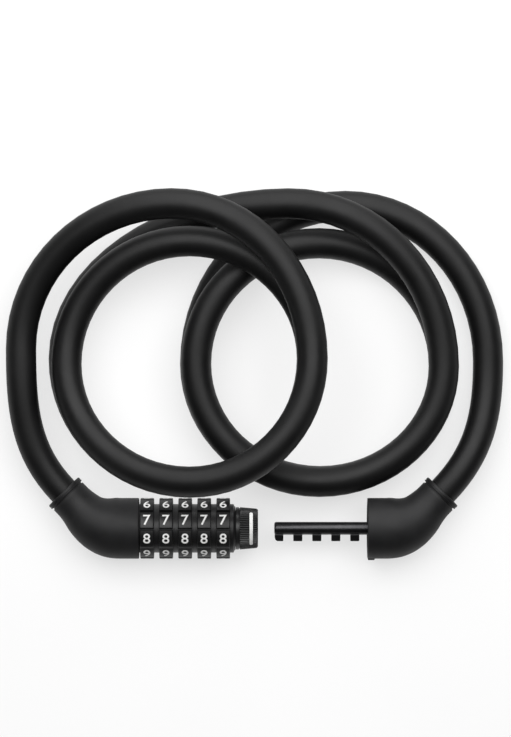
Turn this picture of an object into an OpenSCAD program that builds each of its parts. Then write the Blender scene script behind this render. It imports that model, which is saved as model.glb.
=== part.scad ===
// Combination cable lock: a lock head with five number dials and a reset knob, a finned
// locking pin in a hollow elbow, and a wire cable in a plastic sheath that joins the two.
// Millimetres. The lock head, knob and pin share one axis along X, the cable's loops lie
// towards +Y, and z = 0 is the surface that the lock lies on.

/* [Cable] */
// Outside diameter of the cable's plastic sheath
cable_d = 12; // [11.5:0.1:12]
// Wall thickness of the sheath around the wire core
sheath_wall = 2; // [1.8:0.1:2.4]

/* [Lock head] */
// Diameter of the dials and of the straight part of both elbows
body_d = 24; // [23.6:0.1:24]
// Width of one dial along the axis
dial_w = 5.35; // [5.2:0.05:5.45]
// Distance from one dial to the next
dial_pitch = 7.5; // [7.4:0.05:7.6]
// Diameter of the fixed rings between the dials
spacer_d = 19.2; // [18.4:0.2:19.4]

/* [Reset knob] */
// Diameter of the knob beside the lock head
knob_d = 17; // [16.8:0.1:17]
// Diameter of the knob at its free end
knob_end_d = 15.5; // [15.2:0.1:16]
// Length of the knob
knob_l = 8.8; // [8.7:0.05:8.9]

/* [Locking pin] */
// Diameter of the pin's round shank
shank_d = 5.1; // [4.8:0.1:5.1]
// Distance from the axis to the tips of the pin's teeth
tooth_reach = 5.05; // [4.6:0.05:5.05]
// Thickness of the teeth
tooth_t = 2; // [1.6:0.1:2]
// Length of each gap between two teeth
gap_l = 3.9; // [3.7:0.1:4.1]
// Free space between the knob and the tip of the pin when the lock is open
open_gap = 6.4; // [4:0.2:8]

/* [Elbows] */
// Angle that each elbow turns the cable through
elbow_angle = 46; // [44:1:48]
// Diameter of the elbow's neck where the cable enters
neck_d = 15.8; // [15.6:0.1:16]
// Diameter of the ring that closes the neck
mouth_ring_d = 16.4; // [16.2:0.1:16.8]

/* [Hidden] */
$fn = 64;
row_z = body_d / 2;          // height of the common axis above the surface
body_r = body_d / 2;
cable_r = cable_d / 2;
core_r = cable_r - sheath_wall - 0.4;
run = 0.05;                  // radial clearance of a running fit

// Places along the axis, from the lock elbow's face at face_x on the left to the pin
// elbow's face at the same distance on the right
dial_count = 5;
face_x = 45.05;
dial_gap = 0.55;             // between the lock elbow's face and the first dial
dials_start = -face_x + dial_gap;
dials_end = dials_start + (dial_count - 1) * dial_pitch + dial_w;
spacer_w = dial_pitch - dial_w;
cap_t = 1.3;                 // thickness of the end cap's rim
cap_l = 2.15;                // the rim and the slope down to the knob
knob_start = dials_end + cap_l + 0.1;
knob_end = knob_start + knob_l;
tip_x = knob_end + open_gap;

// The spindle, and the parts that turn on it
spindle_r = 3.9;
spindle_bore_r = shank_d / 2 + 0.15;
spindle_end = knob_end - 0.5;
spindle_blind_x = -face_x - 2;
keyway_w = tooth_t + 0.2;
fin_way_w = tooth_t + 0.6;   // notch that lets the teeth pass
fin_way_r = tooth_reach + 0.3;
tumbler_r = 8;               // where a dial sits on its tumbler
web_from = 0.65;             // a tumbler's web, measured from its middle
clip_x = spindle_end - 0.95;
clip_t = 0.5;
knob_web_x = clip_x - 1.15;  // the web that the spring pushes on
boss_l = 2;
boss_r = 7.2;
washer_seat_t = 0.7;
washer_seat_r = 5.6;         // inner radius of the groove that holds a spring washer
washer_seat_out_r = 9;
pad_count = 10;              // numbers on a dial, with a round-bottomed groove between each two
groove_r = 0.9;
groove_lift = 0.35;          // the groove's centre above the dial's surface
knob_cavity_r = 6.6;         // room for the reset spring
knob_recess_r = 5.6;         // round the clip, in the knob's end
knob_web_t = 1;

// The elbow's centre line: straight, then an arc, then a straight neck
bend_r = 20;
corner_u = 15.75;            // from the face to where the two straights would meet
mouth_from_corner = 20.3;
tangent_l = bend_r * tan(elbow_angle / 2);
straight_l = corner_u - tangent_l;
arc_l = bend_r * elbow_angle * PI / 180;
elbow_l = straight_l + arc_l + mouth_from_corner - tangent_l;
neck_r = neck_d / 2;
mouth_ring_t = 2;
ring_groove_l = 0.6;
taper_from = 9.5;
taper_to = straight_l + arc_l + 7;
edge = 0.6;

// Inside the elbows
socket_depth = 11;           // how far the sheath goes in
crimp_depth = 17.5;          // how far the crimped core goes in
crimp_r = 5.1;
cup_rim_depth = 3;
cup_rim_r = spacer_d / 2 + 0.4;
cup_depth = 12;
cup_r = knob_d / 2 + 0.3;
spindle_root_l = 10;
pin_root_l = 3.35;
dowel_r = 1;
dowel_x = 5;                 // the spindle's dowel, from the elbow's face
dowel_top = row_z + 4.5;
pin_dowel_r = 0.8;
pin_dowel_x = 13.7;
pin_dowel_top = row_z + 3.4;
dowel_room = 0.2;            // above a dowel's end
grub_r = 1.5;
grub_depth = 14;             // the grub screw, from the mouth along the neck
grub_l = 2.8;
lip = 0.55;                  // alignment lip on the pin elbow's rim

mouth_x = face_x + corner_u + mouth_from_corner * cos(elbow_angle);
mouth_y = mouth_from_corner * sin(elbow_angle);

// The origin is below the middle of the rigid pieces, so the axis lies at y = row_y
row_y = -(mouth_y + mouth_ring_d / 2 * cos(elbow_angle) - body_r - lip) / 2;

// The cable's route between the two mouths, y measured from the axis: the outermost point
// of each side and the top and bottom of each loop, as [x, y, z, heading, climb]. Heading
// is in degrees from +X, and climb is the rise for each millimetre of travel.
start_heading = 180 - elbow_angle;
end_heading = 180 + elbow_angle;
route = [
    [-mouth_x, mouth_y, row_z, start_heading, 0],
    [-91.5, 71, 16, 90, 0],
    [-32, 127.5, 36, 0, 0.16],
    [23, 67, 45.8, -90, 0.1],
    [-25, 19, 43, 180, -0.26],
    [-73.5, 65, 19.4, 90, -0.15],
    [-25, 113, 28.2, 0, 0.12],
    [23, 67, 33, -90, 0.1],
    [-25, 18.5, 29.5, 180, -0.27],
    [-75, 67, 7, 90, -0.11],
    [14, 128, 20.5, 0, 0.15],
    [75, 64, 18.7, -90, 0],
    [26, 18.5, 18.5, 180, 0],
    [-22.5, 65, 18.5, 90, 0],
    [26, 112.5, 14, 0, -0.2],
    [75.5, 64, 6, -90, 0],
    [26.5, 18.5, 6, 180, 0],
    [-23, 65, 6, 90, 0],
    [36.5, 127.5, 6, 0, 0],
    [93, 66, 6, -90, 0],
    [mouth_x, mouth_y, row_z, end_heading, 0],
];
quarter_share = 0.5523;      // handle length of a quarter turn, as a share of its radius
lead_share = 0.42;           // the same for the gentle leads at both mouths
steps = 4;                   // rings along each part of the route
cable_sides = 10;
core_sides = 8;

function smooth(t) = let (u = min(1, max(0, t))) u * u * (3 - 2 * u);
function unit(v) = v / norm(v);

// ---- Placing ----

// Moves what is drawn around the axis to its place in the part's frame
module place() {
    translate([0, row_y, 0]) children();
}

// Turns a shape drawn around Z so that it lies around the lock's axis and starts at x
module on_axis(x) {
    translate([x, 0, row_z]) rotate([0, 90, 0]) children();
}

// Stands a shape drawn around Z in a neck's mouth, pointing into the right-hand elbow
module into_neck(depth) {
    translate([mouth_x, mouth_y, row_z]) rotate([0, 0, elbow_angle])
        translate([-depth, 0, 0]) rotate([0, -90, 0]) children();
}

// ---- Swept skins ----

function ring_at(centre, along, r, sides) =
    let (side = unit(cross(along, [0, 0, 1])), up = cross(side, along))
    [for (i = [0:sides - 1]) centre + r * (cos(360 * i / sides) * side + sin(360 * i / sides) * up)];

// Two triangles for each pair of neighbouring points of rings j and k
function band(j, k, sides) = [
    for (i = [0:sides - 1]) let (a = j * sides + i, b = j * sides + (i + 1) % sides,
        c = k * sides + (i + 1) % sides, d = k * sides + i) each [[a, b, c], [a, c, d]]];

module closed_skin(rings) {
    sides = len(rings[0]);
    last = len(rings) - 1;
    polyhedron([for (ring = rings) each ring], concat(
        [for (j = [0:last - 1]) each band(j, j + 1, sides)],
        [[for (i = [sides - 1:-1:0]) i], [for (i = [0:sides - 1]) last * sides + i]]));
}

// Rings out along the outside and back along the inside
module pipe_skin(rings) {
    sides = len(rings[0]);
    count = len(rings);
    polyhedron([for (ring = rings) each ring],
        [for (j = [0:count - 1]) each band(j, (j + 1) % count, sides)]);
}

// ---- Cable ----

function heading(p) = [cos(p[3]), sin(p[3]), p[4]];
function spot(p) = [p[0], p[1], p[2]];
function flat_run(a, b, way) = abs((b[0] - a[0]) * way[0] + (b[1] - a[1]) * way[1]);
function handle_share(i) = i == 0 || i == len(route) - 2 ? lead_share : quarter_share;

// The four Bezier points of part i of the route
function handles(i) =
    let (a = route[i], b = route[i + 1], share = handle_share(i))
    [spot(a), spot(a) + share * flat_run(a, b, heading(a)) * heading(a),
     spot(b) - share * flat_run(a, b, heading(b)) * heading(b), spot(b)];
function bezier(h, t) =
    pow(1 - t, 3) * h[0] + 3 * pow(1 - t, 2) * t * h[1] + 3 * (1 - t) * t * t * h[2] + pow(t, 3) * h[3];
function bezier_way(h, t) = unit(
    pow(1 - t, 2) * (h[1] - h[0]) + 2 * (1 - t) * t * (h[2] - h[1]) + t * t * (h[3] - h[2]));

// Stations [centre, direction] from one seat to the other, the ends inside the elbows
function stations(seat) =
    let (way_out = heading(route[0]), way_in = heading(route[len(route) - 1]))
    [[spot(route[0]) - seat * way_out, way_out],
     for (i = [0:len(route) - 2]) for (k = [0:steps - 1])
         [bezier(handles(i), k / steps), bezier_way(handles(i), k / steps)],
     [spot(route[len(route) - 1]), way_in],
     [spot(route[len(route) - 1]) + seat * way_in, way_in]];

module cable_sheath() {
    along = stations(socket_depth - 0.1);
    color("#202023") pipe_skin(concat(
        [for (s = along) ring_at(s[0], s[1], cable_r, cable_sides)],
        [for (i = [len(along) - 1:-1:0]) ring_at(along[i][0], along[i][1], cable_r - sheath_wall, cable_sides)]));
}

module cable_core() {
    color("#8d9096") closed_skin(
        [for (s = stations(crimp_depth - 0.6)) ring_at(s[0], s[1], core_r, core_sides)]);
}

// ---- Elbows ----

function elbow_turn(s) = min(elbow_angle, max(0, (s - straight_l) / bend_r * 180 / PI));
function elbow_spot(s) =
    let (a = elbow_turn(s), neck = max(0, s - straight_l - arc_l))
    [min(s, straight_l) + bend_r * sin(a) + neck * cos(elbow_angle),
     bend_r * (1 - cos(a)) + (a < elbow_angle ? 0 : neck * sin(elbow_angle)), 0];
function elbow_r(s) =
    s > elbow_l - mouth_ring_t - ring_groove_l ? neck_r - 0.45 :
    neck_r + (body_r - neck_r) * (1 - smooth((s - taper_from) / (taper_to - taper_from))) - max(0, edge - s);
function elbow_station_list() = concat(
    [0, edge, 3, taper_from],
    [for (k = [1:8]) taper_from + (taper_to - taper_from) * k / 8],
    [elbow_l - mouth_ring_t - ring_groove_l, elbow_l - mouth_ring_t - ring_groove_l + 0.01,
     elbow_l - mouth_ring_t - 0.05]);

// The right-hand elbow's outer form, solid
module elbow_form() {
    translate([face_x, 0, row_z]) closed_skin([for (s = elbow_station_list())
        ring_at(elbow_spot(s), [cos(elbow_turn(s)), sin(elbow_turn(s)), 0], elbow_r(s), 32)]);
}

// What every elbow has cut out of it: the cable's socket, the crimp's seat, the grub's hole
module neck_bores() {
    into_neck(-1) cylinder(h = socket_depth + 1, r = cable_r + 0.2);
    into_neck(0) cylinder(h = crimp_depth, r = crimp_r + 0.1);
    grub_hole();
}

module under_grub(z) {
    translate([mouth_x - grub_depth * cos(elbow_angle), mouth_y - grub_depth * sin(elbow_angle), z])
        children();
}

module grub_hole() {
    under_grub(-1) cylinder(h = row_z + 1, r = grub_r + run);
}

module lock_elbow() {
    color("#232326") difference() {
        union() {
            mirror([1, 0, 0]) difference() {
                elbow_form();
                neck_bores();
            }
            on_axis(-face_x - 1) cylinder(h = 1 + dial_gap - run, r = spacer_d / 2);
        }
        on_axis(-face_x - spindle_root_l) cylinder(h = spindle_root_l + 1, r = spindle_r + run);
        on_axis(-face_x - 1.2) cylinder(h = 2, r = fin_way_r);
        translate([-face_x - dowel_x, 0, -1]) cylinder(h = dowel_top + dowel_room + 1, r = dowel_r + run);
    }
}

module pin_elbow() {
    color("#232326") difference() {
        union() {
            elbow_form();
            translate([face_x, -body_r - lip, row_z - 1.5]) cube([3, 2, 3]);
        }
        neck_bores();
        on_axis(face_x - 1) cylinder(h = cup_rim_depth + 1, r = cup_rim_r);
        on_axis(face_x - 1) cylinder(h = cup_depth + 1, r = cup_r);
        on_axis(face_x) cylinder(h = cup_depth + pin_root_l + 0.05, r = shank_d / 2 + run);
        translate([face_x + pin_dowel_x, 0, -1])
            cylinder(h = pin_dowel_top + dowel_room + 1, r = pin_dowel_r + run);
    }
}

module mouth_ring() {
    color("#1c1c1f") into_neck(0) rotate_extrude() polygon([
        [cable_r + 0.2, 0.4], [cable_r + 0.6, 0], [mouth_ring_d / 2 - 0.5, 0],
        [mouth_ring_d / 2, 0.5], [mouth_ring_d / 2, mouth_ring_t], [cable_r + 0.2, mouth_ring_t]]);
}

module crimp_sleeve() {
    color("#b3a36a") into_neck(socket_depth + 0.1) difference() {
        cylinder(h = crimp_depth - socket_depth - 0.3, r = crimp_r);
        translate([0, 0, -1]) cylinder(h = crimp_depth, r = core_r + run);
    }
}

module grub_screw() {
    color("#4a4b4f") under_grub(row_z - crimp_r - 0.1 - grub_l) difference() {
        cylinder(h = grub_l, r = grub_r);
        translate([0, 0, -0.1]) cylinder(h = 1.5, r = 0.85, $fn = 6);
    }
}

module left_hand() {
    mirror([1, 0, 0]) children();
}

// ---- Lock head ----

// Cuts the notch on the -Y side that lets the pin's teeth pass
module fin_way(h) {
    translate([-fin_way_w / 2, -fin_way_r, -1]) cube([fin_way_w, fin_way_r, h + 2]);
}

module spindle() {
    bore_l = spindle_end - spindle_blind_x;
    color("#77797e") difference() {
        on_axis(-face_x - spindle_root_l + 0.1) cylinder(h = spindle_end + face_x + spindle_root_l - 0.1, r = spindle_r);
        on_axis(spindle_blind_x) cylinder(h = bore_l + 1, r = spindle_bore_r);
        translate([spindle_blind_x, -spindle_r - 1, row_z - keyway_w / 2]) cube([bore_l + 1, spindle_r + 1, keyway_w]);
        on_axis(clip_x - run) difference() {
            cylinder(h = clip_t + 2 * run, r = spindle_r + 1);
            cylinder(h = clip_t + 2 * run, r = spindle_r - 0.5);
        }
        translate([-face_x - dowel_x, 0, 0]) cylinder(h = dowel_top + dowel_room, r = dowel_r + run);
    }
}

module spindle_dowel() {
    color("#b0b2b6") translate([-face_x - dowel_x, 0, 1]) cylinder(h = dowel_top - 1, r = dowel_r);
}

// Groove in a spacer's face that holds the spring washer of the dial beside it
module washer_seat() {
    translate([0, 0, -1]) difference() {
        cylinder(h = washer_seat_t + 1, r = washer_seat_out_r);
        cylinder(h = washer_seat_t + 1, r = washer_seat_r);
    }
}

module spacer_ring(k) {
    color("#1b1b1d") on_axis(dials_start + (k - 1) * dial_pitch + dial_w + run) difference() {
        cylinder(h = spacer_w - 2 * run, r = spacer_d / 2);
        translate([0, 0, -1]) cylinder(h = spacer_w + 2, r = spindle_r + run);
        fin_way(spacer_w);
        washer_seat();
    }
}

module end_cap() {
    color("#1b1b1d") on_axis(dials_end + run) difference() {
        rotate_extrude() polygon([
            [spindle_r + run, 0], [spacer_d / 2, 0], [spacer_d / 2, cap_t],
            [knob_d / 2 + 0.3, cap_l - 0.45], [knob_d / 2, cap_l - 0.05],
            [boss_r, cap_l - 0.05], [boss_r, cap_l + boss_l], [spindle_r + run, cap_l + boss_l]]);
        fin_way(cap_l + boss_l);
        washer_seat();
    }
}

// One coned washer for each dial, in the face of the ring at its right
module spring_washers() {
    for (k = [1:dial_count]) color("#a9acb1") on_axis(dials_start + (k - 1) * dial_pitch + dial_w + 2 * run)
        rotate_extrude() polygon([[5.9, 0.35], [8.6, 0], [8.6, 0.25], [5.9, 0.6]]);
}

module dial(k) {
    color("#2a2a2d") on_axis(dials_start + (k - 1) * dial_pitch) difference() {
        rotate_extrude() polygon([
            [tumbler_r, 0], [body_r - edge, 0], [body_r, edge], [body_r, dial_w - edge],
            [body_r - edge, dial_w], [tumbler_r, dial_w]]);
        for (i = [0:pad_count - 1]) rotate([0, 0, 360 * i / pad_count])
            translate([body_r + groove_lift, 0, -1]) cylinder(h = dial_w + 2, r = groove_r, $fn = 16);
    }
}

module tumbler(k) {
    w = dial_w - 0.2;
    color("#c2a45c") on_axis(dials_start + (k - 1) * dial_pitch + 0.1) difference() {
        cylinder(h = w, r = tumbler_r - run);
        translate([0, 0, -1]) cylinder(h = w / 2 + web_from + 1, r = fin_way_r + 0.05);
        translate([0, 0, -1]) cylinder(h = w + 2, r = spindle_r + 0.1);
        fin_way(w);
    }
}

module retaining_clip() {
    color("#a9acb1") on_axis(clip_x) rotate([0, 0, -55]) rotate_extrude(angle = 290)
        translate([spindle_r - 0.45, 0]) square([1.55, clip_t]);
}

module reset_spring() {
    turns = 3.5;
    turn_steps = 14;
    coil_r = 5.95;
    wire_r = 0.3;
    from_x = dials_end + cap_l + boss_l + 0.5;
    to_x = knob_web_x - 0.45;
    last = turns * turn_steps;
    color("#a9acb1") translate([0, 0, row_z]) closed_skin([for (i = [0:last])
        let (a = 360 * i / turn_steps)
        helix_ring([from_x + (to_x - from_x) * i / last, coil_r * cos(a), coil_r * sin(a)],
            unit([(to_x - from_x) / turns / (2 * PI * coil_r), -sin(a), cos(a)]), wire_r, 6)]);
}

// A ring across a coil that winds around X
function helix_ring(centre, along, r, sides) =
    let (side = unit(cross(along, [1, 0, 0])), up = cross(side, along))
    [for (i = [0:sides - 1]) centre + r * (cos(360 * i / sides) * side + sin(360 * i / sides) * up)];

// ---- Reset knob ----

function knob_r(along) = knob_d / 2 + (knob_end_d - knob_d) / 2 * along / knob_l;
band_at = knob_l - 3.4;
band_w = 1.4;
band_depth = 0.3;
band_span = 108;

module band_arc(proud, extra) {
    rotate([0, 0, 180 - band_span / 2 - extra]) rotate_extrude(angle = band_span + 2 * extra) polygon([
        [knob_r(band_at) - band_depth, band_at], [knob_r(band_at) + proud, band_at],
        [knob_r(band_at + band_w) + proud, band_at + band_w],
        [knob_r(band_at) - band_depth, band_at + band_w]]);
}

module reset_knob() {
    end_r = knob_end_d / 2;
    web_at = knob_web_x - knob_start;
    color("#2a2a2d") on_axis(knob_start) difference() {
        rotate_extrude() polygon([
            [0, 0], [knob_d / 2, 0], [end_r, knob_l - 0.9], [end_r - 0.3, knob_l - 0.25],
            [end_r - 0.9, knob_l], [0, knob_l]]);
        translate([0, 0, -1]) cylinder(h = boss_l + 1.3, r = boss_r + 0.1);
        translate([0, 0, -1]) cylinder(h = web_at + 1, r = knob_cavity_r);
        translate([0, 0, -1]) cylinder(h = knob_l + 2, r = spindle_r + 0.1);
        translate([0, 0, web_at + knob_web_t]) cylinder(h = knob_l, r = knob_recess_r);
        fin_way(knob_l);
        band_arc(1, 0);
    }
}

module knob_index_band() {
    color("#e9e9e6") on_axis(knob_start) band_arc(0.02, -0.2);
}

// ---- Locking pin ----

module locking_pin() {
    teeth = 5;
    tip_chamfer = 0.7;
    color("#5c5e63") difference() {
        union() {
            on_axis(tip_x) rotate_extrude() polygon([
                [0, 0], [shank_d / 2 - tip_chamfer, 0], [shank_d / 2, tip_chamfer],
                [shank_d / 2, face_x + cup_depth + pin_root_l - tip_x],
                [0, face_x + cup_depth + pin_root_l - tip_x]]);
            for (k = [0:teeth - 1]) {
                cut = k == 0 ? 0.1 : 0;
                translate([tip_x + k * dial_pitch + cut, -tooth_reach, row_z - tooth_t / 2])
                    cube([dial_pitch - gap_l - cut, tooth_reach, tooth_t]);
            }
        }
        translate([face_x + pin_dowel_x, 0, 0]) cylinder(h = pin_dowel_top + dowel_room, r = pin_dowel_r + run);
    }
}

module pin_dowel() {
    color("#b0b2b6") translate([face_x + pin_dowel_x, 0, 2.2])
        cylinder(h = pin_dowel_top - 2.2, r = pin_dowel_r);
}

place() lock_elbow();
place() left_hand() mouth_ring();  // lock_mouth_ring
place() left_hand() crimp_sleeve();  // lock_crimp_sleeve
place() left_hand() grub_screw();  // lock_grub_screw
place() spindle();
place() spindle_dowel();
for (k = [1:dial_count - 1]) place() spacer_ring(k);
place() end_cap();
place() spring_washers();
place() retaining_clip();
place() reset_spring();
for (k = [1:dial_count]) place() dial(k);
for (k = [1:dial_count]) place() tumbler(k);
place() reset_knob();
place() knob_index_band();
place() pin_elbow();
place() mouth_ring();  // pin_mouth_ring
place() crimp_sleeve();  // pin_crimp_sleeve
place() grub_screw();  // pin_grub_screw
place() locking_pin();
place() pin_dowel();
place() cable_sheath();
place() cable_core();
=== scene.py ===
"""The looks of a combination cable lock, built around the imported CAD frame.

Everything is in metres in the frame's own axes: +X runs along the lock from the lock head to
the pin end, +Y towards the cable's loops, +Z up from the floor.
"""
import math

import bmesh
import bpy
import numpy as np
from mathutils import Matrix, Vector


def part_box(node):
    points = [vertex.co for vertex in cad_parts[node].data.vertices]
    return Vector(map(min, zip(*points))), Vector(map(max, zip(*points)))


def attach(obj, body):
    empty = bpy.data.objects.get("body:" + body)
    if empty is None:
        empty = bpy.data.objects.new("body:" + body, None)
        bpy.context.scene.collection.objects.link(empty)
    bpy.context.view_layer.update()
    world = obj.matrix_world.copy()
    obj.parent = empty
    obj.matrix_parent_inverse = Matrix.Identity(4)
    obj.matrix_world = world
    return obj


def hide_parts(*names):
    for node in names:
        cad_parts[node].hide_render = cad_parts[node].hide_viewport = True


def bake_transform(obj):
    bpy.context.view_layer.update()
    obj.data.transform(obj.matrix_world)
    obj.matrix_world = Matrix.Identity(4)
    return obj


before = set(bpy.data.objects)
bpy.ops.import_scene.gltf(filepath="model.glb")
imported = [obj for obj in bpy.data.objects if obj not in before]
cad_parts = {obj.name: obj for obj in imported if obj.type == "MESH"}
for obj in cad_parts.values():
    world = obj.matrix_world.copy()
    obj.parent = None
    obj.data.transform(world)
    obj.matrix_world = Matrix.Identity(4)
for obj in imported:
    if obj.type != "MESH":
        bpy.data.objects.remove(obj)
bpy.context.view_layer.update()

MM = 0.001

# ---- Places and sizes, from the frame where it shows them ----

dial_boxes = [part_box(f"dial_{k}") for k in range(1, 6)]
DIAL_FROM = [lo.x for lo, hi in dial_boxes]
DIAL_W = dial_boxes[0][1].x - dial_boxes[0][0].x
AXIS_Y = (dial_boxes[2][0].y + dial_boxes[2][1].y) / 2
AXIS_Z = (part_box("pin_elbow")[0].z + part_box("pin_elbow")[1].z) / 2
BODY_R = AXIS_Z
FACE_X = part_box("pin_elbow")[0].x
KNOB_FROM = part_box("reset_knob")[0].x
KNOB_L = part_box("reset_knob")[1].x - KNOB_FROM
TIP_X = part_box("locking_pin")[0].x

CABLE_R = 6 * MM
SHEATH_WALL = 2 * MM
CORE_R = 3.6 * MM

# The elbows' centre line, measured from their faces
ELBOW_ANGLE = math.radians(46)
BEND_R = 20 * MM
CORNER_U = 15.75 * MM
MOUTH_FROM_CORNER = 20.3 * MM
TANGENT_L = BEND_R * math.tan(ELBOW_ANGLE / 2)
STRAIGHT_L = CORNER_U - TANGENT_L
ARC_L = BEND_R * ELBOW_ANGLE
ELBOW_L = STRAIGHT_L + ARC_L + MOUTH_FROM_CORNER - TANGENT_L
NECK_R = 7.9 * MM
RING_R = 8.2 * MM
RING_T = 2 * MM
MOUTH_X = FACE_X + CORNER_U + MOUTH_FROM_CORNER * math.cos(ELBOW_ANGLE)
MOUTH_Y = MOUTH_FROM_CORNER * math.sin(ELBOW_ANGLE)

# The cable's turning points, y measured from the axis: x, y, z in mm, heading in degrees, climb
START_HEADING = 180 - 46
END_HEADING = 180 + 46
ROUTE = [
    (-MOUTH_X / MM, MOUTH_Y / MM, AXIS_Z / MM, START_HEADING, 0),
    (-91.5, 71, 16, 90, 0),
    (-32, 127.5, 36, 0, 0.16),
    (23, 67, 45.8, -90, 0.1),
    (-25, 19, 43, 180, -0.26),
    (-73.5, 65, 19.4, 90, -0.15),
    (-25, 113, 28.2, 0, 0.12),
    (23, 67, 33, -90, 0.1),
    (-25, 18.5, 29.5, 180, -0.27),
    (-75, 67, 7, 90, -0.11),
    (14, 128, 20.5, 0, 0.15),
    (75, 64, 18.7, -90, 0),
    (26, 18.5, 18.5, 180, 0),
    (-22.5, 65, 18.5, 90, 0),
    (26, 112.5, 14, 0, -0.2),
    (75.5, 64, 6, -90, 0),
    (26.5, 18.5, 6, 180, 0),
    (-23, 65, 6, 90, 0),
    (36.5, 127.5, 6, 0, 0),
    (93, 66, 6, -90, 0),
    (MOUTH_X / MM, MOUTH_Y / MM, AXIS_Z / MM, END_HEADING, 0),
]
# Length of a curve's handles as a share of its width: round quarters, and flatter first and last parts
QUARTER_HANDLE = 0.5523
LEAD_HANDLE = 0.42
ROUTE_STEPS = 16
# How deep the sheath's and the core's ends sit in the elbows
SHEATH_SEAT = 10.9 * MM
CORE_SEAT = 16.9 * MM
SHEATH_SIDES = 40
CORE_SIDES = 24


# ---- Camera ----

CAMERA_UP = 2.0
VIEW_HEIGHT = 0.291
VIEW_MIDDLE = (0.9 * MM, 63.1 * MM)
SENSOR_MM = 36.0


def make_camera():
    """Looks straight down on the lock. The view's height is measured at the lock's axis."""
    data = bpy.data.cameras.new("camera")
    data.sensor_fit = "AUTO"
    data.sensor_width = SENSOR_MM
    data.lens = SENSOR_MM * CAMERA_UP / VIEW_HEIGHT
    data.clip_end = 20
    camera = bpy.data.objects.new("camera", data)
    camera.location = (VIEW_MIDDLE[0], AXIS_Y + VIEW_MIDDLE[1], AXIS_Z + CAMERA_UP)
    bpy.context.scene.collection.objects.link(camera)
    bpy.context.scene.camera = camera


# ---- Mesh building ----

def new_piece(name, verts, faces, material, sharp_degrees):
    """A mesh object with outward normals, smooth apart from edges sharper than the angle given."""
    mesh = bpy.data.meshes.new(name)
    mesh.from_pydata([tuple(v) for v in verts], [], faces)
    tool = bmesh.new()
    tool.from_mesh(mesh)
    bmesh.ops.recalc_face_normals(tool, faces=tool.faces)
    tool.to_mesh(mesh)
    tool.free()
    mesh.shade_smooth()
    mesh.set_sharp_from_angle(angle=math.radians(sharp_degrees))
    mesh.materials.append(material)
    piece = bpy.data.objects.new(name, mesh)
    bpy.context.scene.collection.objects.link(piece)
    return piece


def skin(rings, ends="capped"):
    """Vertices and faces over a list of rings: capped ends, or the last ring joined to the first."""
    sides = len(rings[0])
    verts = np.vstack(rings)
    count = len(rings)
    last = count if ends == "joined" else count - 1
    faces = []
    for j in range(last):
        k = (j + 1) % count
        for i in range(sides):
            n = (i + 1) % sides
            faces.append((j * sides + i, j * sides + n, k * sides + n, k * sides + i))
    if ends == "capped":
        faces.append(tuple(range(sides)))
        faces.append(tuple((count - 1) * sides + i for i in reversed(range(sides))))
    return verts, faces


def ring_round(centre, along, radius, sides):
    """Points of a circle square to a direction that isn't straight up."""
    along = np.array(along, float)
    along /= np.linalg.norm(along)
    side = np.cross(along, (0, 0, 1))
    side /= np.linalg.norm(side)
    up = np.cross(side, along)
    turn = np.linspace(0, 2 * math.pi, sides, endpoint=False)[:, None]
    return np.array(centre, float) + radius * (np.cos(turn) * side + np.sin(turn) * up)


# ---- The cable ----

def route_points(seat):
    """Centre points and directions from one seat in an elbow to the other."""
    def way(p):
        return np.array([math.cos(math.radians(p[3])), math.sin(math.radians(p[3])), p[4]])

    def spot(p):
        return np.array([p[0], p[1], p[2]]) * MM + np.array([0, AXIS_Y, 0])

    points, ways = [spot(ROUTE[0]) - seat * way(ROUTE[0])], [way(ROUTE[0])]
    last_part = len(ROUTE) - 2
    for i in range(last_part + 1):
        a, b = ROUTE[i], ROUTE[i + 1]
        p, q, u, v = spot(a), spot(b), way(a), way(b)
        reach = LEAD_HANDLE if i in (0, last_part) else QUARTER_HANDLE
        h1 = p + reach * abs((q - p)[:2] @ u[:2]) * u
        h2 = q - reach * abs((q - p)[:2] @ v[:2]) * v
        for k in range(ROUTE_STEPS):
            t = k / ROUTE_STEPS
            near = (1 - t) ** 3 * p + 3 * (1 - t) ** 2 * t * h1
            points.append(near + 3 * (1 - t) * t * t * h2 + t ** 3 * q)
            ways.append((1 - t) ** 2 * (h1 - p) + 2 * (1 - t) * t * (h2 - h1) + t * t * (q - h2))
    points += [spot(ROUTE[-1]), spot(ROUTE[-1]) + seat * way(ROUTE[-1])]
    ways += [way(ROUTE[-1]), way(ROUTE[-1])]
    return np.array(points), np.array(ways)


def lengths_along(points):
    """Distance along a line of points from its first point to each."""
    return np.concatenate([[0], np.cumsum(np.linalg.norm(np.diff(points, axis=0), axis=1))])


def map_along(piece, sides, along):
    """UVs of a swept tube: u round it, v along it, both in metres."""
    layer = piece.data.uv_layers.new(name="UVMap")
    ring_count = len(along)
    for face in piece.data.polygons:
        rings = [piece.data.loops[i].vertex_index // sides for i in face.loop_indices]
        spots = [piece.data.loops[i].vertex_index % sides for i in face.loop_indices]
        wraps = max(spots) - min(spots) > sides // 2
        for loop, ring, spot in zip(face.loop_indices, rings, spots):
            turn = spot + (sides if wraps and spot < sides // 2 else 0)
            layer.data[loop].uv = (turn / sides * 2 * math.pi * CABLE_R, along[ring % ring_count])


def follow_the_cable(piece, sides, along):
    """Bakes the piece's placement into its mesh, and works out for each vertex a share that rises smoothly
    along the cable.
    """
    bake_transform(piece)
    t = np.clip((along - SHEATH_SEAT * 2) / (along[-1] - SHEATH_SEAT * 4), 0, 1)
    ring_share = t * t * (3 - 2 * t)
    share = np.repeat(ring_share, sides)
    if len(share) < len(piece.data.vertices):
        share = np.concatenate([share, np.repeat(ring_share[::-1], sides)])


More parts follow.
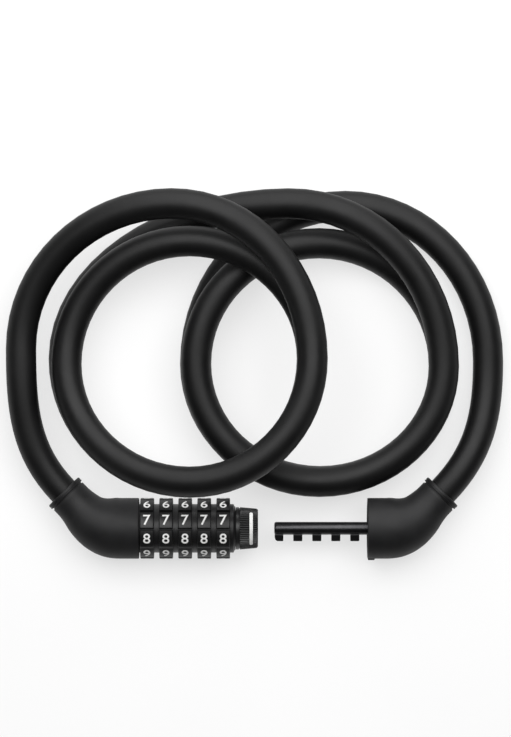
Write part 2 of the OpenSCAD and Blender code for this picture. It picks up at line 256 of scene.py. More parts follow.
def make_cable(vinyl, wire):
    """The sheath, a closed tube, and the wire core inside it."""
    points, ways = route_points(SHEATH_SEAT)
    along = lengths_along(points)
    outer = [ring_round(p, w, CABLE_R, SHEATH_SIDES) for p, w in zip(points, ways)]
    inner = [ring_round(p, w, CABLE_R - SHEATH_WALL, SHEATH_SIDES) for p, w in zip(points, ways)]
    sheath = new_piece("sheath", *skin(outer + inner[::-1], ends="joined"), vinyl, 60)
    map_along(sheath, SHEATH_SIDES, np.concatenate([along, along[::-1]]))
    follow_the_cable(sheath, SHEATH_SIDES, along)
    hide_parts("cable_sheath")

    core_points, core_ways = route_points(CORE_SEAT)
    core_rings = [ring_round(p, w, CORE_R, CORE_SIDES) for p, w in zip(core_points, core_ways)]
    core = new_piece("wire_core", *skin(core_rings), wire, 60)
    follow_the_cable(core, CORE_SIDES, lengths_along(core_points))
    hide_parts("cable_core")


# ---- Elbows ----

TAPER_FROM = 9.5 * MM
TAPER_TO = STRAIGHT_L + ARC_L + 7 * MM
EDGE_R = 0.35 * MM
NECK_GROOVE_L = 0.6 * MM
NECK_GROOVE_DEPTH = 0.5 * MM
RING_GAP = 0.02 * MM
SOCKET_R = CABLE_R + 0.2 * MM
SOCKET_DEPTH = 10.5 * MM
ELBOW_SIDES = 96
LIP = 0.55 * MM
LIP_L = 3 * MM
LIP_END_L = 0.3 * MM
LIP_HALF_W = 1.5 * MM

# The hole in each elbow's face, deepest first: depth and radius in mm. The pin's elbow is a cup, and
# the lock's elbow has a raised boss round the spindle.
CUP_DEPTH = 12
CUP_HOLE = [(CUP_DEPTH, 2.6), (CUP_DEPTH, 8.8), (3, 8.8), (3, 10), (0.35, 10), (0.08, 10.12), (0, 10.4)]
BOSS_HOLE = [(10, 3.95), (1.2, 3.95), (1.2, 5.35), (-0.5, 5.35), (-0.5, 9.4), (-0.4, 9.6), (0, 9.6)]

# The bead at each mouth: depth in mm from its outer end, and the radius over the cable's or the bead's
BEAD_INSIDE = [(0.35, 0.2), (0.05, 0.45), (0, 0.8)]
BEAD_OUTSIDE = [(0, -0.55), (0.08, -0.25), (0.28, -0.06), (0.5, 0), (1.05, 0), (1.12, -0.16), (1.3, -0.16),
                (1.37, 0), (1.7, 0), (1.9, -0.08), (2, -0.3)]


def smooth(t):
    """Runs smoothly from 0 to 1, and stays there outside that range."""
    t = min(1, max(0, t))
    return t * t * (3 - 2 * t)


def elbow_place(s, hand):
    """Centre and direction of an elbow's centre line at distance s from its face.

    hand is 1 for the pin's elbow and -1 for the lock's.
    """
    turn = min(ELBOW_ANGLE, max(0, (s - STRAIGHT_L) / BEND_R))
    neck = max(0, s - STRAIGHT_L - ARC_L)
    u = min(s, STRAIGHT_L) + BEND_R * math.sin(turn) + neck * math.cos(ELBOW_ANGLE)
    v = BEND_R * (1 - math.cos(turn)) + neck * math.sin(ELBOW_ANGLE)
    centre = (hand * (FACE_X + u), AXIS_Y + v, AXIS_Z)
    return centre, (hand * math.cos(turn), math.sin(turn), 0)


def elbow_radius(s):
    """Outside radius at distance s: round at the face's edge, and tapered towards the neck."""
    radius = NECK_R + (BODY_R - NECK_R) * (1 - smooth((s - TAPER_FROM) / (TAPER_TO - TAPER_FROM)))
    if s < EDGE_R:
        radius -= EDGE_R - math.sqrt(EDGE_R ** 2 - (EDGE_R - s) ** 2)
    return radius


def raise_lip(ring, centre, proud):
    """Lifts the part of a ring within the lip's width, on the -Y side, by a small height."""
    for point in ring:
        if point[1] < centre[1] and abs(point[2] - centre[2]) < LIP_HALF_W:
            point[1] -= proud
    return ring


def make_elbow(name, hand, face_hole, look):
    """One skin: up the hole in the face, round the rim, along the outside and down the cable's socket."""
    rings = []

    def add(s, radius):
        centre, way = elbow_place(s, hand)
        ring = ring_round(centre, way, radius, ELBOW_SIDES)
        if hand == 1 and 0.2 * MM < s < LIP_L:
            ring = raise_lip(ring, centre, LIP * min(1, s / EDGE_R, (LIP_L - s) / LIP_END_L))
        rings.append(ring)

    for depth, radius in face_hole:
        centre = (hand * (FACE_X + depth * MM), AXIS_Y, AXIS_Z)
        rings.append(ring_round(centre, (hand, 0, 0), radius * MM, ELBOW_SIDES))
    for k in range(6):
        s = EDGE_R * (1 - math.cos(math.pi / 2 * k / 5))
        add(s, elbow_radius(s))
    for s in (2 * MM, LIP_L - LIP_END_L, LIP_L - LIP_END_L / 2, LIP_L):
        add(s, elbow_radius(s))
    body_end = ELBOW_L - RING_T - NECK_GROOVE_L
    last = body_end - 0.3 * MM
    for k in range(4, 41):
        s = EDGE_R + (last - EDGE_R) * k / 40
        add(s, elbow_radius(s))
    add(body_end - 0.08 * MM, NECK_R - 0.06 * MM)
    add(body_end, NECK_R - 0.2 * MM)
    add(body_end, NECK_R - NECK_GROOVE_DEPTH)
    add(ELBOW_L - RING_T - RING_GAP, NECK_R - NECK_GROOVE_DEPTH)
    add(ELBOW_L - RING_T - RING_GAP, SOCKET_R)
    add(ELBOW_L - SOCKET_DEPTH, SOCKET_R)
    return new_piece(name, *skin(rings), look, 35)


def make_mouth_ring(name, hand, look):
    """The bead that closes a neck, with a fine groove round it."""
    outline = [(depth * MM, CABLE_R + over * MM) for depth, over in BEAD_INSIDE]
    outline += [(depth * MM, RING_R + over * MM) for depth, over in BEAD_OUTSIDE]
    outline.append((RING_T, SOCKET_R))
    rings = []
    for depth, radius in outline:
        centre, way = elbow_place(ELBOW_L - depth, hand)
        rings.append(ring_round(centre, way, radius, ELBOW_SIDES))
    return new_piece(name, *skin(rings, ends="joined"), look, 30)


# ---- Pieces round the lock's axis ----

def turned(stations, turns):
    """Rings round the lock's axis, one for each station of x and radius.

    A radius may be a function of the angle. Angles run from the top of the lock towards +Y.
    """
    rings = []
    for x, radius in stations:
        r = np.array([radius(a) for a in turns]) if callable(radius) else np.full(len(turns), radius)
        across = AXIS_Y + r * np.sin(turns)
        up = AXIS_Z + r * np.cos(turns)
        rings.append(np.column_stack([np.full(len(turns), x), across, up]))
    return rings


# The dials: ten pads with a V groove between each two, all by angle from the top
PAD = math.radians(36)
FIRST_PAD = math.radians(18)
GROOVE_FLOOR = math.radians(0.3)
GROOVE_EDGE = math.radians(2.9)
GROOVE_DEPTH = 1.1 * MM
DIAL_BORE_R = 8 * MM
# Rounding of a pad's edges: distance from the dial's side and drop, in mm
PAD_EDGE = [(0, 0.4), (0.03, 0.24), (0.1, 0.12), (0.2, 0.04), (0.34, 0)]
# A fine line turned into each side of a dial: distance inwards and radius in mm, from the bore out
SIDE_LINE = [(0, 10.2), (0.15, 10.4), (0, 10.6)]


def pad_depth(angle):
    """How far a dial's surface lies below its pads at this angle."""
    from_groove = abs((angle + PAD / 2) % PAD - PAD / 2)
    share = (GROOVE_EDGE - from_groove) / (GROOVE_EDGE - GROOVE_FLOOR)
    return GROOVE_DEPTH * min(1, max(0, share))


def dial_turns():
    """Angles of a dial's points, close together at the grooves. Both halves of a pad match."""
    half = [math.radians(a) for a in (0, 0.3, 1.6, 2.9, 3.1, 4, 6, 8, 10, 12, 14, 16, 18)]
    one = half + [PAD - a for a in half[-2:0:-1]]
    return np.array([k * PAD + a for k in range(10) for a in one])


def make_dial(k, look):
    start, end = DIAL_FROM[k - 1], DIAL_FROM[k - 1] + DIAL_W

    def outside(drop):
        return lambda a: BODY_R - max(drop * MM, pad_depth(a))

    stations = [(start, DIAL_BORE_R)]
    stations += [(start + x * MM, r * MM) for x, r in SIDE_LINE]
    stations += [(start + x * MM, outside(drop)) for x, drop in PAD_EDGE]
    stations += [(start + DIAL_W * share, outside(0)) for share in (0.3, 0.5, 0.7)]
    stations += [(end - x * MM, outside(drop)) for x, drop in reversed(PAD_EDGE)]
    stations += [(end - x * MM, r * MM) for x, r in reversed(SIDE_LINE)]
    stations.append((end, DIAL_BORE_R))
    dial = new_piece(f"number_ring_{k}", *skin(turned(stations, dial_turns()), ends="joined"), look, 50)
    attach(dial, f"number_dial_{k}")
    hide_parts(f"dial_{k}")


DIGIT_H = 4.15 * MM
DIGIT_BOLD = 0.008
DIGIT_WIDEN = 1.06
DIGIT_STRIPS = 14
PAINT_SUNK = 0.06 * MM
PAINT_T = 0.1 * MM
DIGIT_ON_FIRST_PAD = 7


def digit_shape(digit):
    """Vertices and faces of one numeral, upright in XY around the origin.

    It is cut into strips, so that it bends round the dial.
    """
    curve = bpy.data.curves.new(f"digit_{digit}", "FONT")
    curve.body = str(digit)
    curve.align_x, curve.align_y = "CENTER", "CENTER"
    curve.size = 1
    curve.offset = DIGIT_BOLD
    curve.resolution_u = 5
    letter = bpy.data.objects.new(f"digit_{digit}", curve)
    bpy.context.scene.collection.objects.link(letter)
    bpy.context.view_layer.update()
    shape = bpy.data.meshes.new_from_object(letter.evaluated_get(bpy.context.evaluated_depsgraph_get()))
    bpy.data.objects.remove(letter)
    tool = bmesh.new()
    tool.from_mesh(shape)
    bmesh.ops.remove_doubles(tool, verts=tool.verts, dist=1e-5)
    spots = np.array([v.co[:2] for v in tool.verts])
    lo, hi = spots.min(axis=0), spots.max(axis=0)
    scale = DIGIT_H / (hi[1] - lo[1])
    centre = (lo + hi) / 2
    for v in tool.verts:
        v.co = ((v.co.x - centre[0]) * scale * DIGIT_WIDEN, (v.co.y - centre[1]) * scale, 0)
    for k in range(1, DIGIT_STRIPS):
        cut_y = DIGIT_H * (k / DIGIT_STRIPS - 0.5)
        bmesh.ops.bisect_plane(tool, geom=tool.verts[:] + tool.edges[:] + tool.faces[:], dist=1e-7,
                               plane_co=(0, cut_y, 0), plane_no=(0, 1, 0))
    bmesh.ops.triangulate(tool, faces=tool.faces)
    raised = bmesh.ops.extrude_face_region(tool, geom=tool.faces[:])
    for part in raised["geom"]:
        if isinstance(part, bmesh.types.BMVert):
            part.co.z += PAINT_T
    tool.verts.index_update()
    verts = [tuple(v.co) for v in tool.verts]
    faces = [[v.index for v in f.verts] for f in tool.faces]
    tool.free()
    return verts, faces


def make_numbers(k, shapes, look):
    """The ten numerals of one dial, a thin layer of paint that stands a little proud of the pads."""
    middle = DIAL_FROM[k - 1] + DIAL_W / 2
    verts, faces = [], []
    for digit in range(10):
        angle = FIRST_PAD + (DIGIT_ON_FIRST_PAD - digit) * PAD
        base = len(verts)
        for x, y, z in shapes[digit][0]:
            turn, r = angle + y / BODY_R, BODY_R - PAINT_SUNK + z
            verts.append((middle + x, AXIS_Y + r * math.sin(turn), AXIS_Z + r * math.cos(turn)))
        faces += [[base + i for i in face] for face in shapes[digit][1]]
    numbers = new_piece(f"numbers_{k}", verts, faces, look, 30)
    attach(numbers, f"number_dial_{k}")


# ---- Reset knob ----

RIDGES = 54
RIDGE_DEPTH = 0.4 * MM
KNOB_R = 8.5 * MM
KNOB_END_R = 7.75 * MM
KNOB_TURNS = np.linspace(0, 2 * math.pi, RIDGES * 8, endpoint=False)
# The collar's rounded start: distance along the knob and radius, in mm
COLLAR_EDGE = [(0, 7.35), (0, 7.9), (0.05, 8.2), (0.2, 8.38)]
COLLAR_L = 1.6 * MM
COLLAR_GROOVE = 0.3 * MM
# Where the ridges have points along the knob before and after the index band, in mm
RIDGES_BEFORE = (1.72, 1.9, 3, 4.4, 5.3, 5.36)
RIDGES_AFTER = (6.84, 6.9, 7.4)
END_EDGE_L = 0.85 * MM
END_EDGE_DROP = 0.75 * MM
BAND_FROM = 5.4 * MM
BAND_W = 1.4 * MM
BAND_HALF = math.radians(54)
BAND_SEAT = 0.08 * MM
BAND_DEPTH = 0.14 * MM
# The web inside the knob, the recess in its end and the cavity behind the web
WEB_FROM = 6.15 * MM
WEB_TO = 7.25 * MM
RECESS_R = 5.6 * MM
RECESS_EDGE = 0.3 * MM
RECESS_EDGE_L = 0.25 * MM
CAVITY_R = 6.6 * MM
CAVITY_FROM = 2.3 * MM
INNER_COLLAR_R = 7.35 * MM
WEB_HOLE_R = 4 * MM
KEY_HALF_W = 1.3 * MM
KEY_REACH = 5.35 * MM


def from_top(angle):
    """Angle from the top of the lock, either way."""
    return abs((angle + math.pi) % (2 * math.pi) - math.pi)


def knob_radius(x):
    """The knob tapers towards its end."""
    return KNOB_R + (KNOB_END_R - KNOB_R) * x / KNOB_L


def knurled(x, amount=1.0, drop=0.0):
    """The knob's outside at distance x along it: rounded ridges, and a seat for the index band."""
    beside_band = BAND_FROM - BAND_SEAT < x < BAND_FROM + BAND_W + BAND_SEAT

    def radius(angle):
        if beside_band and from_top(angle) < BAND_HALF:
            return knob_radius(x) - BAND_DEPTH
        valley = (0.5 - 0.5 * math.cos(RIDGES * angle)) ** 2
        return knob_radius(x) - drop - RIDGE_DEPTH * amount * valley
    return radius


def keyed_hole(angle):
    """Radius of a round hole with a notch on its -Y side."""
    from_key = from_top(angle + math.pi / 2)
    if from_key > math.asin(KEY_HALF_W / WEB_HOLE_R):
        return WEB_HOLE_R
    if from_key > math.asin(KEY_HALF_W / KEY_REACH):
        return KEY_HALF_W / math.sin(from_key)
    return KEY_REACH


def make_knob(look):
    """Along the outside of the knob, back through its end recess and web, and down its cavity."""
    collar_r = knob_radius(COLLAR_L)
    stations = [(x * MM, r * MM) for x, r in COLLAR_EDGE]
    stations.append((COLLAR_L - 0.4 * MM, collar_r))
    stations.append((COLLAR_L - 0.3 * MM, collar_r - COLLAR_GROOVE))
    stations.append((COLLAR_L - 0.05 * MM, collar_r - COLLAR_GROOVE - 0.05 * MM))
    stations.append((COLLAR_L, knurled(COLLAR_L, 0, COLLAR_GROOVE)))
    stations += [(x * MM, knurled(x * MM)) for x in RIDGES_BEFORE + RIDGES_AFTER]
    edge_from = KNOB_L - END_EDGE_L
    stations.append((edge_from, knurled(edge_from)))
    for share in (0.25, 0.5, 0.75, 1):
        drop = END_EDGE_DROP * (1 - math.cos(math.pi / 2 * share))
        x = edge_from + END_EDGE_L * math.sin(math.pi / 2 * share)
        stations.append((x, knurled(x, 1 - share, drop)))
    stations.append((KNOB_L, RECESS_R + RECESS_EDGE))
    stations.append((KNOB_L - RECESS_EDGE_L, RECESS_R))
    stations += [(WEB_TO, RECESS_R), (WEB_TO, keyed_hole), (WEB_FROM, keyed_hole), (WEB_FROM, CAVITY_R)]
    stations += [(CAVITY_FROM, CAVITY_R), (CAVITY_FROM, INNER_COLLAR_R)]
    placed = [(KNOB_FROM + x, radius) for x, radius in stations]
    knob = new_piece("knurled_knob", *skin(turned(placed, KNOB_TURNS), ends="joined"), look, 40)
    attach(knob, "knob")
    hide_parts("reset_knob")


BAND_MARGIN = 0.06 * MM
BAND_END_MARGIN = math.radians(1.2)
BAND_TIP_HALF_W = 0.01 * MM
BAND_SUNK = 0.2 * MM
BAND_PROUD = 0.03 * MM


def make_band(look):
    """The painted stripe round the knob's top, with round ends: a sunk layer and a face just proud."""
    across, lengthwise = 9, 90
    half_w = BAND_W / 2 - BAND_MARGIN
    half_l = (BAND_HALF - BAND_END_MARGIN) * knob_radius(BAND_FROM)
    layers = []
    for lift in (-BAND_SUNK, BAND_PROUD):
        for i in range(lengthwise + 1):
            s = -math.cos(math.pi * i / lengthwise) * half_l
            past = max(0, abs(s) - (half_l - half_w))
            w = math.sqrt(max(0, half_w ** 2 - past ** 2)) + BAND_TIP_HALF_W
            turn = s / knob_radius(BAND_FROM)
            for j in range(across):
                x = BAND_FROM + BAND_W / 2 + w * (2 * j / (across - 1) - 1)
                r = knob_radius(x) + lift
                layers.append((KNOB_FROM + x, AXIS_Y + r * math.sin(turn), AXIS_Z + r * math.cos(turn)))
    top = (lengthwise + 1) * across
    faces = []
    for i in range(lengthwise):
        for j in range(across - 1):
            a = i * across + j
            faces.append((a, a + 1, a + across + 1, a + across))
            faces.append((top + a, top + a + across, top + a + across + 1, top + a + 1))
    rim = [i * across for i in range(lengthwise + 1)]
    rim += [lengthwise * across + j for j in range(1, across)]
    rim += [i * across + across - 1 for i in range(lengthwise - 1, -1, -1)]
    rim += list(range(across - 2, 0, -1))
    for a, b in zip(rim, rim[1:] + rim[:1]):
        faces.append((a, top + a, top + b, b))
    band = new_piece("index_band", layers, faces, look, 40)
    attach(band, "knob")
    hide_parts("knob_index_band")


# ---- Locking pin ----

SHANK_R = 2.55 * MM
TOOTH_HALF_T = 1 * MM
TOOTH_PITCH = 7.5 * MM
TOOTH_L = 3.6 * MM
TOOTH_ROUND = 0.3 * MM
TEETH = 5
PIN_SEAT = 3.35 * MM
# The rounded tip and the front of the first tooth: distance from the tip, radius and reach in mm
TIP = [(0, 1.75, 0), (0.08, 2.1, 0), (0.16, 2.25, 0), (0.18, 2.27, 3.5), (0.3, 2.38, 4.1),
       (0.5, 2.5, 4.5), (0.75, 2.55, 4.78), (1.05, 2.55, 4.95), (1.4, 2.55, 5.05)]
# A tooth's side: distance into the tooth and reach in mm. No two stations share a place, because a
# face without area would spoil the smooth shading beside it.
TOOTH_SIDE = [(0, 0), (0.03, 4.75), (0.1, 4.95), (0.3, 5.05)]
# A tooth in cross-section: shares of its reach and of its half thickness
TOOTH_SECTION = [(0.3, 1), (0.7, 1), (1, 1), (1, 0.7), (1, 0.35), (1, 0),
                 (1, -0.35), (1, -0.7), (1, -1), (0.7, -1), (0.3, -1)]


def pin_section(radius, reach):
    """Y and Z of points round the pin, with a tooth on the -Y side that reaches that far, or none."""
    root = math.asin(TOOTH_HALF_T / SHANK_R)
    foot = SHANK_R * math.cos(root)
    around = [root + (2 * math.pi - 2 * root) * k / 64 for k in range(65)]
    points = [(-radius * math.cos(a), radius * math.sin(a)) for a in around]
    for i, (out, side) in enumerate(TOOTH_SECTION):
        if reach:
            corner = TOOTH_ROUND if out == 1 and abs(side) == 1 else 0
            y = foot + (reach - foot) * out - corner
            points.append((-y, -side * TOOTH_HALF_T))
        else:
            angle = root * (1 - (i + 1) / (len(TOOTH_SECTION) + 1) * 2)
            points.append((-radius * math.cos(angle), -radius * math.sin(angle)))
    return points


def make_pin(look):
    """The pin from its tip to its seat behind the cup, with teeth in a row along its -Y side."""
    stations = [(TIP_X + x * MM, radius * MM, reach * MM) for x, radius, reach in TIP]
    for k in range(TEETH):
        start = TIP_X + k * TOOTH_PITCH
        end = start + TOOTH_L
        if k:
            stations += [(start + x * MM, SHANK_R, reach * MM) for x, reach in TOOTH_SIDE]
        stations += [(end - x * MM, SHANK_R, reach * MM) for x, reach in reversed(TOOTH_SIDE)]
    stations.append((FACE_X + 2 * MM, SHANK_R, 0))
    stations.append((FACE_X + CUP_DEPTH * MM + PIN_SEAT, SHANK_R, 0))
    rings = []
    for x, radius, reach in stations:
        rings.append(np.array([(x, AXIS_Y + y, AXIS_Z + z) for y, z in pin_section(radius, reach)]))
    pin = new_piece("toothed_pin", *skin(rings), look, 30)
    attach(pin, "pin_end")
    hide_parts("locking_pin")


# ---- Materials ----

LOW_GLOSS = 0.22


def started(name):
    """A new material, its node tree and its shader, with a low gloss."""
    material = bpy.data.materials.new(name)
    material.use_nodes = True
    shader = material.node_tree.nodes["Principled BSDF"]
    shader.inputs["Specular IOR Level"].default_value = LOW_GLOSS
    return material, material.node_tree, shader


def add_node(tree, kind, **settings):
    """A new node with its settings filled in."""
    node = tree.nodes.new(kind)
    for key, value in settings.items():
        setattr(node, key, value)
    return node


def noise(tree, vector, scale, detail, rough):
    """Noise over a vector. Its value stays mostly between 0.3 and 0.7."""
    node = add_node(tree, "ShaderNodeTexNoise")
    node.inputs["Scale"].default_value = scale
    node.inputs["Detail"].default_value = detail
    node.inputs["Roughness"].default_value = rough
    tree.links.new(vector, node.inputs["Vector"])
    return node.outputs["Fac"]


def remap(tree, value, low, high, from_low=0.3, from_high=0.7):
    """Takes the range from_low to from_high to the range low to high, and clamps it there."""
    node = add_node(tree, "ShaderNodeMapRange")
    tree.links.new(value, node.inputs["Value"])
    node.inputs["From Min"].default_value = from_low
    node.inputs["From Max"].default_value = from_high
    node.inputs["To Min"].default_value = low
    node.inputs["To Max"].default_value = high
    return node.outputs["Result"]


def blend_colours(tree, share, a, b):
    """Goes from a to b with the share. Each is a colour or a socket."""
    node = add_node(tree, "ShaderNodeMix", data_type="RGBA")
    tree.links.new(share, node.inputs["Factor"])
    colour_a, colour_b = node.inputs[6], node.inputs[7]
    for socket, colour in ((colour_a, a), (colour_b, b)):
        if isinstance(colour, tuple):
            socket.default_value = (*colour, 1)
        else:
            tree.links.new(colour, socket)
    return node.outputs[2]


def stretched(tree, source, scale):
    """A vector scaled axis by axis."""
    node = add_node(tree, "ShaderNodeMapping")
    node.inputs["Scale"].default_value = scale
    tree.links.new(source, node.inputs["Vector"])
    return node.outputs["Vector"]


def add_bump(tree, shader, layers):
    """Chains bumps of (height, strength, distance in metres) into the shader's normal."""
    normal = None
    for height, strength, distance in layers:
        node = add_node(tree, "ShaderNodeBump")
        node.inputs["Strength"].default_value = strength
        node.inputs["Distance"].default_value = distance
        tree.links.new(height, node.inputs["Height"])
        if normal:
            tree.links.new(normal, node.inputs["Normal"])
        normal = node.outputs["Normal"]
    tree.links.new(normal, shader.inputs["Normal"])


def moulded_look(name, dark, worn, rough, grain=0.12, gloss=LOW_GLOSS):
    """Black moulded plastic: fine grain, slow changes of gloss, and edges rubbed a little paler."""
    material, tree, shader = started(name)
    shader.inputs["Specular IOR Level"].default_value = gloss
    place = add_node(tree, "ShaderNodeTexCoord").outputs["Object"]
    fine = noise(tree, place, 5200, 2, 0.5)
    soft = noise(tree, place, 130, 4, 0.6)
    edges = add_node(tree, "ShaderNodeNewGeometry").outputs["Pointiness"]
    rub = remap(tree, edges, 0, 0.55, 0.52, 0.6)
    base = blend_colours(tree, remap(tree, soft, 0, 1), dark, tuple(1.5 * c for c in dark))
    tree.links.new(blend_colours(tree, rub, base, worn), shader.inputs["Base Color"])
    tree.links.new(remap(tree, soft, rough - 0.05, rough + 0.07), shader.inputs["Roughness"])
    add_bump(tree, shader, [(fine, grain, 0.00004), (soft, 0.06, 0.0002)])
    return material


def sheath_look():
    """Extruded vinyl: faint drawing lines along the cable, slow waves in the gloss, and scattered dust."""
    material, tree, shader = started("sheath_vinyl")
    along = add_node(tree, "ShaderNodeTexCoord").outputs["UV"]
    place = add_node(tree, "ShaderNodeTexCoord").outputs["Object"]
    lines = noise(tree, stretched(tree, along, (2600, 14, 1)), 1, 2, 0.5)
    orange_peel = noise(tree, place, 900, 3, 0.55)
    cloud = noise(tree, place, 55, 4, 0.6)
    dust = noise(tree, place, 2600, 2, 0.7)
    deep, pale = (0.0022, 0.0022, 0.0023), (0.0034, 0.0034, 0.0035)
    base = blend_colours(tree, remap(tree, cloud, 0, 1), deep, pale)
    dusty = blend_colours(tree, remap(tree, dust, 0, 0.25, 0.66, 0.8), base, (0.01, 0.01, 0.01))
    tree.links.new(dusty, shader.inputs["Base Color"])
    tree.links.new(remap(tree, cloud, 0.44, 0.54), shader.inputs["Roughness"])
    add_bump(tree, shader, [(lines, 0.1, 0.00006), (orange_peel, 0.12, 0.00008)])
    return material


def metal_look(name, colour, rough, scratch_scale=(400, 5200, 5200), depth=0.08):
    """Turned or drawn metal: fine scratches along the part and a faint stain in its tone."""
    material, tree, shader = started(name)
    shader.inputs["Metallic"].default_value = 1
    place = add_node(tree, "ShaderNodeTexCoord").outputs["Object"]
    scratches = noise(tree, stretched(tree, place, scratch_scale), 1, 3, 0.6)
    stain = noise(tree, place, 240, 4, 0.6)
    base = blend_colours(tree, remap(tree, stain, 0, 1), tuple(0.75 * c for c in colour), colour)
    tree.links.new(base, shader.inputs["Base Color"])
    tree.links.new(remap(tree, scratches, rough - 0.07, rough + 0.1), shader.inputs["Roughness"])
    add_bump(tree, shader, [(scratches, depth, 0.00003)])
    return material


def pin_look():
    """Drawn dark steel. The teeth are given a much darker colour than the shank as painted shade, and a
    rougher finish.
    """
    material = metal_look("pin_steel", (0.045, 0.045, 0.047), 0.31, (900, 9000, 9000), depth=0.04)
    tree = material.node_tree
    shader = tree.nodes["Principled BSDF"]
    place = add_node(tree, "ShaderNodeTexCoord").outputs["Object"]
    across = add_node(tree, "ShaderNodeSeparateXYZ")
    tree.links.new(place, across.inputs["Vector"])
    foot = AXIS_Y - SHANK_R
    # Painted shade on the teeth: below the shank's foot the colour goes much darker, and the roughness
    # higher.
    painted_tooth_shade = remap(tree, across.outputs["Y"], 1, 0, foot - 0.25 * MM, foot + 0.05 * MM)
    for socket, dark in (("Base Color", (0.006, 0.006, 0.0063)), ("Roughness", (0.6, 0.6, 0.6))):
        source = shader.inputs[socket].links[0].from_socket
        tree.links.new(blend_colours(tree, painted_tooth_shade, source, dark), shader.inputs[socket])
    return material


def paint_look(name, colour):
    """Printed paint, a little uneven in tone and worn thin in places."""
    material, tree, shader = started(name)
    place = add_node(tree, "ShaderNodeTexCoord").outputs["Object"]
    fleck = noise(tree, place, 3200, 3, 0.6)
    cloud = noise(tree, place, 500, 3, 0.6)
    base = blend_colours(tree, remap(tree, cloud, 0, 1), tuple(0.9 * c for c in colour), colour)
    tree.links.new(base, shader.inputs["Base Color"])
    tree.links.new(remap(tree, fleck, 0.38, 0.52), shader.inputs["Roughness"])
    add_bump(tree, shader, [(fleck, 0.08, 0.00003)])
    return material


def wire_look():
    """Wire rope, told by the broken glints of a coarse, even relief."""
    return metal_look("core_wire", (0.24, 0.24, 0.245), 0.38, (2600, 2600, 2600), depth=0.25)


def dress(node, look):
    """Gives a CAD node that stays in view its material."""
    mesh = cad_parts[node].data
    mesh.materials.clear()
    mesh.materials.append(look)


# ---- Stage ----

FLOOR_HALF = 3
FLOOR_GLOW = 0.55


def make_floor():
    """A matt floor that glows a little, so that it stays white under light meant for black parts."""
    mesh = bpy.data.meshes.new("floor")
    corners = [(x * FLOOR_HALF, y * FLOOR_HALF, 0) for x, y in ((-1, -1), (1, -1), (1, 1), (-1, 1))]
    mesh.from_pydata(corners, [], [(0, 1, 2, 3)])
    floor = bpy.data.objects.new("floor", mesh)
    material, tree, shader = started("floor")
    place = add_node(tree, "ShaderNodeTexCoord").outputs["Object"]
    cloud = noise(tree, place, 6, 2, 0.5)
    tone = blend_colours(tree, remap(tree, cloud, 0, 1), (0.3, 0.3, 0.3), (0.32, 0.32, 0.32))
    tree.links.new(tone, shader.inputs["Base Color"])
    shader.inputs["Roughness"].default_value = 0.9
    shader.inputs["Emission Color"].default_value = (1, 1, 1, 1)
    shader.inputs["Emission Strength"].default_value = FLOOR_GLOW
    mesh.materials.append(material)
    bpy.context.scene.collection.objects.link(floor)


def area_light(name, place, target, size, power, shadow):
    """A soft box at a place, turned towards the target. size is its width and height."""
    data = bpy.data.lights.new(name, "AREA")
    data.use_shadow = shadow
    data.shape = "RECTANGLE"
    data.size, data.size_y = size
    data.energy = power
    light = bpy.data.objects.new(name, data)
    light.location = place
    light.rotation_mode = "QUATERNION"
    light.rotation_quaternion = (Vector(target) - Vector(place)).to_track_quat("-Z", "Y")
    bpy.context.scene.collection.objects.link(light)


# Soft boxes one metre off: name, degrees from overhead towards the loops, size, radiance, casts shadows
SOFT_BOXES = [
    ("key", 18, (1.4, 0.68), 4.4, True),
    ("slope", 60, (1.5, 0.9), 3.6, False),
]
SURROUND = 0.1


def make_lights():
    """Two soft boxes and a dim surround. The lower box casts no shadow, so the loops don't dim the dials."""
    middle = Vector((0, 0.05, 0))
    for name, lean, size, radiance, shadow in SOFT_BOXES:
        way = Vector((0, math.sin(math.radians(lean)), math.cos(math.radians(lean))))
        area_light(name, middle + way, middle, size, radiance * math.pi * size[0] * size[1], shadow)
    world = bpy.data.worlds.new("world")
    world.use_nodes = True
    background = world.node_tree.nodes["Background"]
    background.inputs["Color"].default_value = (1, 1, 1, 1)
    background.inputs["Strength"].default_value = SURROUND
    bpy.context.scene.world = world
    bpy.context.scene.view_settings.view_transform = "Standard"


# ---- Putting it together ----

make_camera()

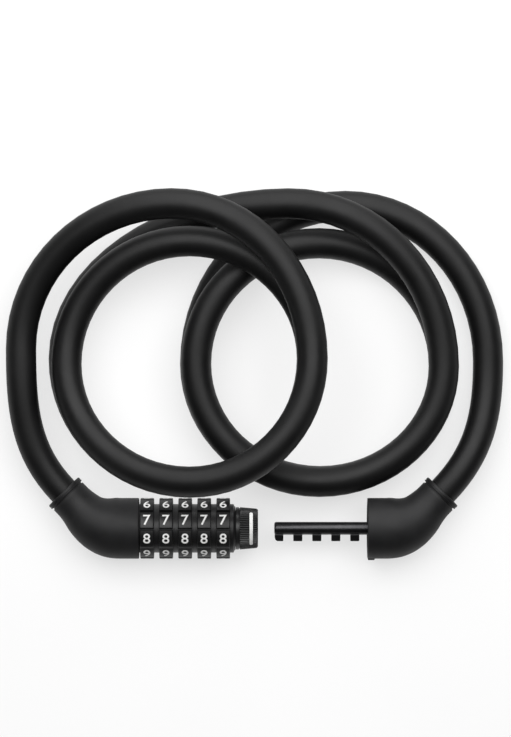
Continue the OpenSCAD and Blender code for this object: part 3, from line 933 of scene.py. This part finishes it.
plastic = moulded_look("elbow_plastic", (0.0062, 0.0062, 0.0065), (0.014, 0.014, 0.0145), 0.54)
ring_plastic = moulded_look("ring_plastic", (0.005, 0.005, 0.0053), (0.012, 0.012, 0.0125), 0.48)
dial_plastic = moulded_look("dial_plastic", (0.003, 0.003, 0.0032), (0.01, 0.01, 0.0105), 0.4,
                            grain=0.08, gloss=0.34)
spacer_plastic = moulded_look("spacer_plastic", (0.0026, 0.0026, 0.0028), (0.009, 0.009, 0.0095), 0.4,
                              gloss=0.34)
knob_plastic = moulded_look("knob_plastic", (0.003, 0.003, 0.0032), (0.012, 0.012, 0.0125), 0.34,
                            grain=0.08, gloss=0.42)
white_paint = paint_look("index_paint", (0.72, 0.72, 0.71))
pin_steel = pin_look()
spindle_steel = metal_look("spindle_steel", (0.17, 0.17, 0.175), 0.32)
spring_steel = metal_look("spring_steel", (0.3, 0.3, 0.305), 0.28)
dowel_steel = metal_look("dowel_steel", (0.28, 0.28, 0.29), 0.3)
screw_steel = metal_look("screw_steel", (0.05, 0.05, 0.053), 0.4)
brass = metal_look("brass", (0.36, 0.26, 0.11), 0.34)

make_cable(sheath_look(), wire_look())

for hand, body, node, hole in ((-1, "lock_head", "lock", BOSS_HOLE), (1, "pin_end", "pin", CUP_HOLE)):
    elbow = make_elbow(f"{node}_elbow_shell", hand, hole, plastic)
    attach(elbow, body)
    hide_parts(f"{node}_elbow")
    ring = make_mouth_ring(f"{node}_mouth_bead", hand, ring_plastic)
    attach(ring, body)
    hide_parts(f"{node}_mouth_ring")
    dress(f"{node}_crimp_sleeve", brass)
    dress(f"{node}_grub_screw", screw_steel)

shapes = [digit_shape(d) for d in range(10)]
for k in range(1, 6):
    make_dial(k, dial_plastic)
    make_numbers(k, shapes, white_paint)
    dress(f"tumbler_{k}", brass)
for k in range(1, 5):
    dress(f"spacer_ring_{k}", spacer_plastic)
dress("end_cap", spacer_plastic)
dress("spindle", spindle_steel)
for node in ("spring_washers", "retaining_clip", "reset_spring"):
    dress(node, spring_steel)
for node in ("spindle_dowel", "pin_dowel"):
    dress(node, dowel_steel)
make_knob(knob_plastic)
make_band(white_paint)
make_pin(pin_steel)

make_floor()
make_lights()
